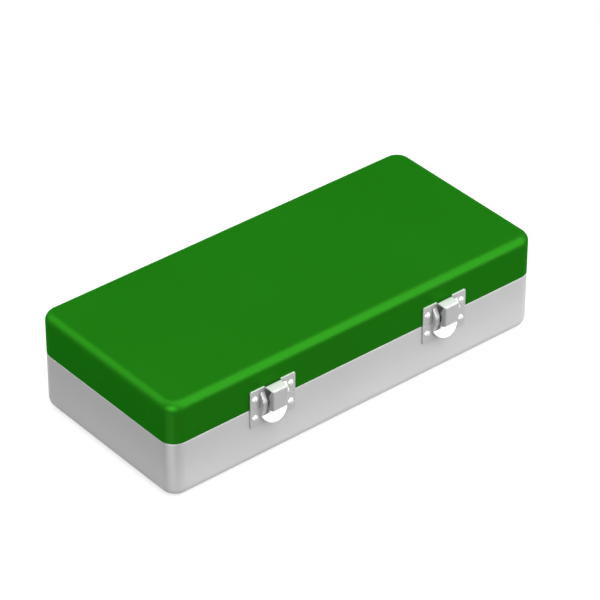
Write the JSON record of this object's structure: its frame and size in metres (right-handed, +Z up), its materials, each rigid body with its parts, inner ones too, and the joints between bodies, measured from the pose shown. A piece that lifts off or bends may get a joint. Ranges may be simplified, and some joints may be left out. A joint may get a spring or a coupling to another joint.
{
  "type": "implant container",
  "caption": "Rectangular hinged aluminium container with two draw latches, a green lid and a perforated tray with an implant rack.",
  "frame": {"origin": "centre of the underside, on the plane that the base rests on", "axes": "+X along the length, -Y out of the front with the latches, +Z up through the lid"},
  "size_m": [0.3, 0.149, 0.0715],
  "materials": {
    "lid_green": "satin green anodised",
    "base_aluminium": "fine matt natural anodised",
    "latch_steel": "polished pressed sheet",
    "rivet_steel": "bright domed",
    "pin_steel": "ground",
    "hinge_steel": "polished pressed sheet",
    "tray_steel": "brushed",
    "screw_steel": "bright",
    "rack_blue": "matt blue anodised",
    "silicone": "matt"
  },
  "bodies": {
    "case": {"base_shell": "base_aluminium", "insert_tray": "tray_steel", "tray_feet": "silicone", "implant_rack": "rack_blue", "rack_posts": "base_aluminium", "rack_screws": "screw_steel", "latch_bracket_left": "latch_steel", "latch_bracket_right": "latch_steel", "bracket_rivets_left": "rivet_steel", "bracket_rivets_right": "rivet_steel", "lever_pin_left": "pin_steel", "lever_pin_right": "pin_steel", "hinge_base_leaf_left": "hinge_steel", "hinge_base_leaf_right": "hinge_steel", "hinge_base_rivets_left": "rivet_steel", "hinge_base_rivets_right": "rivet_steel", "hinge_pin_left": "pin_steel", "hinge_pin_right": "pin_steel"},
    "lid": {"lid_shell": "lid_green", "keeper_left": "latch_steel", "keeper_right": "latch_steel", "keeper_rivets_left": "rivet_steel", "keeper_rivets_right": "rivet_steel", "hinge_lid_leaf_left": "hinge_steel", "hinge_lid_leaf_right": "hinge_steel", "hinge_lid_rivets_left": "rivet_steel", "hinge_lid_rivets_right": "rivet_steel"},
    "lever_left": {"latch_lever_left": "latch_steel", "claw_pin_left": "pin_steel"},
    "claw_left": {"latch_claw_left": "latch_steel"},
    "lever_right": {"latch_lever_right": "latch_steel", "claw_pin_right": "pin_steel"},
    "claw_right": {"latch_claw_right": "latch_steel"}
  },
  "joints": [
    {"name": "lid_hinge", "type": "hinge", "parent": "case", "child": "lid", "pos_m": [0, 0.07045, 0.0415], "axis": [-1, 0, 0], "range_deg": [0, 180]},
    {"name": "latch_left", "type": "hinge", "parent": "case", "child": "lever_left", "pos_m": [-0.0708, -0.07075, 0.0457], "axis": [-1, 0, 0], "range_deg": [0, 75]},
    {"name": "latch_right", "type": "hinge", "parent": "case", "child": "lever_right", "pos_m": [0.0708, -0.07075, 0.0457], "axis": [-1, 0, 0], "range_deg": [0, 75]},
    {"name": "claw_left", "type": "hinge", "parent": "lever_left", "child": "claw_left", "pos_m": [-0.0708, -0.07055, 0.0399], "axis": [-1, 0, 0], "range_deg": [-75, 0]},
    {"name": "claw_right", "type": "hinge", "parent": "lever_right", "child": "claw_right", "pos_m": [0.0708, -0.07055, 0.0399], "axis": [-1, 0, 0], "range_deg": [-75, 0]}
  ],
  "couplings": [
    {"joint": "claw_left", "follows": "latch_left", "ratio": -1},
    {"joint": "claw_right", "follows": "latch_right", "ratio": -1}
  ]
}
